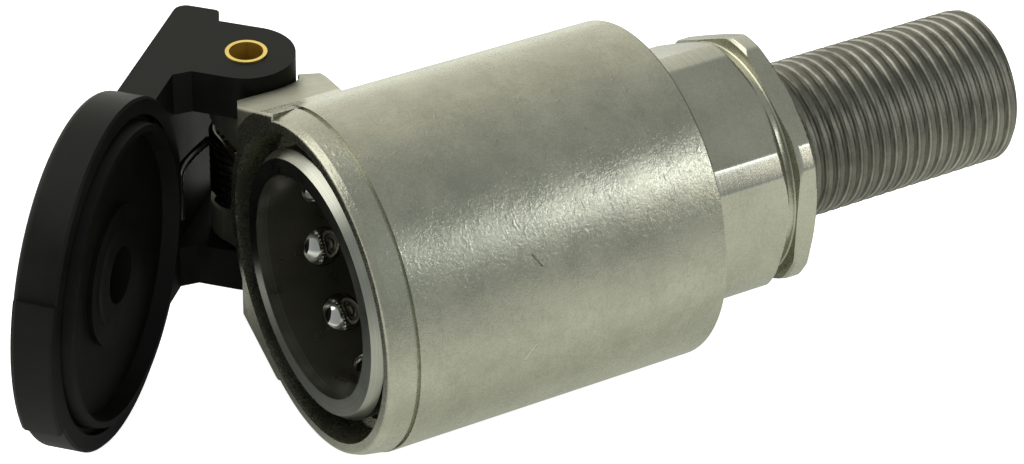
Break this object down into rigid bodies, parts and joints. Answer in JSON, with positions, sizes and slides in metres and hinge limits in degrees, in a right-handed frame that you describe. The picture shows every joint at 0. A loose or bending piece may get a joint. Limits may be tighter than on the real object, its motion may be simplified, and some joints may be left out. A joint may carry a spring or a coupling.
{
  "type": "hydraulic quick coupler",
  "caption": "Ball-lock hydraulic quick coupler socket with a sliding sleeve, a hinged black dust cap, a hexagon and a male pipe thread.",
  "frame": {"origin": "centre of the socket's mouth, on the front plane of the sleeve's lip", "axes": "+X along the coupler's axis from the mouth to the thread, +Z along the cap's hinge axis, the hinge on the +Y side"},
  "size_m": [0.1395, 0.0658, 0.0446],
  "materials": {
    "zinc_sleeve": "zinc plated, dull mottled warm grey with dark specks",
    "zinc_hex": "zinc plated, satin with turning marks",
    "turned_steel": "fine turned",
    "spring_steel": "drawn wire",
    "ball_steel": "polished",
    "polished_brass": "polished",
    "black_plastic": "moulded, matte",
    "black_rubber": "smooth",
    "white_ptfe": "smooth"
  },
  "bodies": {
    "coupler_body": {"socket_body": "turned_steel", "hex_adapter": "zinc_hex", "front_stop_ring": "spring_steel", "probe_o_ring": "black_rubber", "backup_ring": "white_ptfe", "body_o_ring": "black_rubber", "poppet_guide": "turned_steel", "sleeve_spring": "spring_steel", "poppet_spring": "spring_steel"},
    "sleeve": {"housing": "zinc_sleeve", "rear_guide_ring": "turned_steel", "housing_circlip": "spring_steel", "cap_spring": "spring_steel"},
    "dust_cap": {"cap": "black_plastic", "hinge_tube": "polished_brass"},
    "valve": {"poppet": "turned_steel", "poppet_seal": "black_rubber"},
    "ball_01": {"locking_ball_01": "ball_steel"},
    "ball_02": {"locking_ball_02": "ball_steel"},
    "ball_03": {"locking_ball_03": "ball_steel"},
    "ball_04": {"locking_ball_04": "ball_steel"},
    "ball_05": {"locking_ball_05": "ball_steel"},
    "ball_06": {"locking_ball_06": "ball_steel"},
    "ball_07": {"locking_ball_07": "ball_steel"},
    "ball_08": {"locking_ball_08": "ball_steel"},
    "ball_09": {"locking_ball_09": "ball_steel"},
    "ball_10": {"locking_ball_10": "ball_steel"}
  },
  "joints": [
    {"name": "sleeve_slide", "type": "slide", "parent": "coupler_body", "child": "sleeve", "axis": [1, 0, 0], "range_m": [-0.005, 0], "stiffness_N_per_m": 2500, "springref_m": 0.01, "deforming": ["sleeve_spring"]},
    {"name": "cap_hinge", "type": "hinge", "parent": "sleeve", "child": "dust_cap", "pos_m": [0.0065, 0.0292, 0], "axis": [0, 0, 1], "range_deg": [-65, 45.2], "stiffness_Nm_per_rad": 0.02, "deforming": ["cap_spring"]},
    {"name": "poppet_slide", "type": "slide", "parent": "coupler_body", "child": "valve", "axis": [1, 0, 0], "range_m": [0, 0.005], "stiffness_N_per_m": 1200, "springref_m": -0.004, "deforming": ["poppet_spring"]},
    {"name": "ball_01_slide", "type": "slide", "parent": "coupler_body", "child": "ball_01", "axis": [0, 0.9409, -0.3387], "range_m": [0, 0.0016]},
    {"name": "ball_02_slide", "type": "slide", "parent": "coupler_body", "child": "ball_02", "axis": [0, 0.9603, 0.279], "range_m": [0, 0.0016]},
    {"name": "ball_03_slide", "type": "slide", "parent": "coupler_body", "child": "ball_03", "axis": [0, 0.6129, 0.7902], "range_m": [0, 0.0016]},
    {"name": "ball_04_slide", "type": "slide", "parent": "coupler_body", "child": "ball_04", "axis": [0, 0.0314, 0.9995], "range_m": [0, 0.0016]},
    {"name": "ball_05_slide", "type": "slide", "parent": "coupler_body", "child": "ball_05", "axis": [0, -0.5621, 0.8271], "range_m": [0, 0.0016]},
    {"name": "ball_06_slide", "type": "slide", "parent": "coupler_body", "child": "ball_06", "axis": [0, -0.9409, 0.3387], "range_m": [0, 0.0016]},
    {"name": "ball_07_slide", "type": "slide", "parent": "coupler_body", "child": "ball_07", "axis": [0, -0.9603, -0.279], "range_m": [0, 0.0016]},
    {"name": "ball_08_slide", "type": "slide", "parent": "coupler_body", "child": "ball_08", "axis": [0, -0.6129, -0.7902], "range_m": [0, 0.0016]},
    {"name": "ball_09_slide", "type": "slide", "parent": "coupler_body", "child": "ball_09", "axis": [0, -0.0314, -0.9995], "range_m": [0, 0.0016]},
    {"name": "ball_10_slide", "type": "slide", "parent": "coupler_body", "child": "ball_10", "axis": [0, 0.5621, -0.8271], "range_m": [0, 0.0016]}
  ],
  "couplings": [
    {"joint": "ball_01_slide", "follows": "sleeve_slide", "ratio": -0.32},
    {"joint": "ball_02_slide", "follows": "sleeve_slide", "ratio": -0.32},
    {"joint": "ball_03_slide", "follows": "sleeve_slide", "ratio": -0.32},
    {"joint": "ball_04_slide", "follows": "sleeve_slide", "ratio": -0.32},
    {"joint": "ball_05_slide", "follows": "sleeve_slide", "ratio": -0.32},
    {"joint": "ball_06_slide", "follows": "sleeve_slide", "ratio": -0.32},
    {"joint": "ball_07_slide", "follows": "sleeve_slide", "ratio": -0.32},
    {"joint": "ball_08_slide", "follows": "sleeve_slide", "ratio": -0.32},
    {"joint": "ball_09_slide", "follows": "sleeve_slide", "ratio": -0.32},
    {"joint": "ball_10_slide", "follows": "sleeve_slide", "ratio": -0.32}
  ]
}
